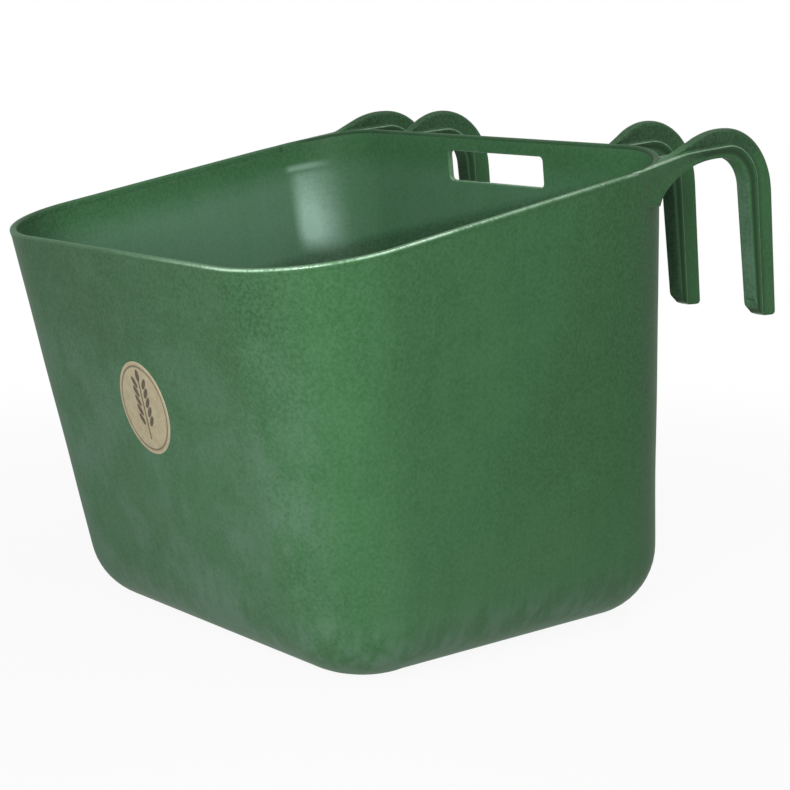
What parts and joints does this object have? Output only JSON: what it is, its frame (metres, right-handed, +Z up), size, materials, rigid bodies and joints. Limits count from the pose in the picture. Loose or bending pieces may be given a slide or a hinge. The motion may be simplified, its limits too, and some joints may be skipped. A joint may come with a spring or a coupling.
{
  "type": "feed manger",
  "caption": "Hook-over feed manger: a deep moulded tub with a sloping mouth and rounded corners, hooks along its back edge for a rail or door, and a hand slot between them.",
  "frame": {"origin": "middle of the underside, where the tub stands", "axes": "+Z up, -Y towards the front wall with the label, +Y towards the hooks, +X to the right of someone who faces the hooks from the front"},
  "size_m": [0.3514, 0.3921, 0.3115],
  "materials": {
    "moulding": "semi-matte green moulding with a cloudy haze",
    "label": "matte tan film"
  },
  "bodies": {
    "root": {"tub_shell": "moulding", "rim_bead": "moulding", "hook_right_outer": "moulding", "hook_right_inner": "moulding", "hook_left_inner": "moulding", "hook_left_outer": "moulding", "label": "label"}
  },
  "joints": []
}
